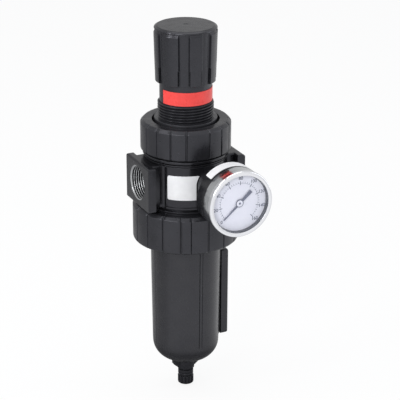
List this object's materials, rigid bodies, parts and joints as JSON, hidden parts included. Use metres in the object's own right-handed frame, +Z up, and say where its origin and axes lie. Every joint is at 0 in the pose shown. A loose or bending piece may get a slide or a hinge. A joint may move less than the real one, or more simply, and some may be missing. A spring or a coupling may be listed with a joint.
{
  "type": "air filter regulator",
  "caption": "Compressed-air filter and regulator: push-to-lock knob, panel-mount bonnet, ported body with dial gauge, metal filter bowl with sight gauge and twist drain.",
  "frame": {"origin": "where the axis through the two ports crosses the unit's upright axis", "axes": "+X from the inlet port to the outlet port, -Y to the front with the gauge, +Z up"},
  "size_m": [0.083, 0.1202, 0.3013],
  "materials": {
    "black_paint": "black baked paint on die-cast metal, faint orange-peel grain",
    "black_plastic": "black moulded glass-filled plastic, satin",
    "red_vinyl": "red printed film, bare",
    "white_vinyl": "white label film, bare",
    "chrome": "bright plated sheet metal",
    "steel": "zinc-plated turned steel",
    "brass": "turned brass",
    "rubber": "black nitrile rubber",
    "clear_plastic": "clear moulded window",
    "sintered_plastic": "white sintered porous sleeve",
    "nylon": "natural nylon",
    "dial_white": "white enamelled dial",
    "pointer_grey": "grey painted sheet metal"
  },
  "bodies": {
    "housing": {"baffle": "black_plastic", "body": "black_paint", "bonnet": "black_plastic", "bonnet_ring": "black_plastic", "bourdon_tube": "brass", "deflector": "black_plastic", "diaphragm": "rubber", "filter_element": "sintered_plastic", "gauge_bezel": "chrome", "gauge_case": "chrome", "gauge_dial": "dial_white", "gauge_lens": "clear_plastic", "gauge_movement": "brass", "gauge_stem": "brass", "gauge_sticker": "white_vinyl", "guide_seal": "rubber", "nameplate": "white_vinyl", "neck_band": "red_vinyl", "rear_plug": "steel", "regulating_spring": "steel", "retaining_clip": "steel", "thrust_washer": "nylon", "valve_guide": "black_plastic", "valve_seat": "brass", "valve_spring": "steel"},
    "screw": {"adjusting_screw": "steel"},
    "knob": {"knob": "black_plastic"},
    "nut": {"spring_nut": "brass"},
    "plate": {"diaphragm_plate": "steel"},
    "valve": {"valve_poppet": "brass"},
    "pointer": {"gauge_pointer": "pointer_grey"},
    "bowl": {"bowl": "black_paint", "bowl_seal": "rubber", "sight_seal": "rubber", "sight_lens": "clear_plastic", "sight_guard": "black_paint", "sight_screw_top": "steel", "sight_screw_bottom": "steel", "drain_body": "black_plastic", "drain_nut": "brass", "drain_seal": "rubber"},
    "ring": {"bowl_ring": "black_plastic"},
    "drain": {"drain_knob": "black_plastic"}
  },
  "joints": [
    {"name": "knob_turn", "type": "hinge", "parent": "housing", "child": "screw", "pos_m": [0, 0, 0.0775], "axis": [0, 0, -1], "range_deg": [0, 2160]},
    {"name": "knob_lift", "type": "slide", "parent": "screw", "child": "knob", "axis": [0, 0, -1], "range_m": [0, 0.0045]},
    {"name": "nut_travel", "type": "slide", "parent": "housing", "child": "nut", "axis": [0, 0, -1], "range_m": [0, 0.0091], "deforming": ["regulating_spring"]},
    {"name": "plate_travel", "type": "slide", "parent": "housing", "child": "plate", "axis": [0, 0, -1], "range_m": [0, 0.002], "stiffness_N_per_m": 3000, "springref_m": -0.001, "deforming": ["diaphragm"]},
    {"name": "valve_travel", "type": "slide", "parent": "housing", "child": "valve", "axis": [0, 0, -1], "range_m": [0, 0.0021], "deforming": ["valve_spring"]},
    {"name": "pointer_turn", "type": "hinge", "parent": "housing", "child": "pointer", "pos_m": [0.0086, -0.0747, 0.002], "axis": [0, 1, 0], "range_deg": [0, 270], "stiffness_Nm_per_rad": 0.0002, "springref_deg": -17.19},
    {"name": "bowl_drop", "type": "slide", "parent": "housing", "child": "bowl", "axis": [0, 0, -1], "range_m": [0, 0.0091]},
    {"name": "ring_turn", "type": "hinge", "parent": "bowl", "child": "ring", "pos_m": [0, 0, -0.0356], "axis": [0, 0, -1], "range_deg": [0, 1080]},
    {"name": "drain_turn", "type": "hinge", "parent": "bowl", "child": "drain", "pos_m": [0, 0, -0.17665], "axis": [0, 0, -1], "range_deg": [0, 90]}
  ],
  "couplings": [
    {"joint": "nut_travel", "follows": "knob_turn", "m_per_rad": 0.00023873},
    {"joint": "valve_travel", "follows": "plate_travel", "ratio": 1},
    {"joint": "bowl_drop", "follows": "ring_turn", "m_per_rad": 0.00047746}
  ]
}
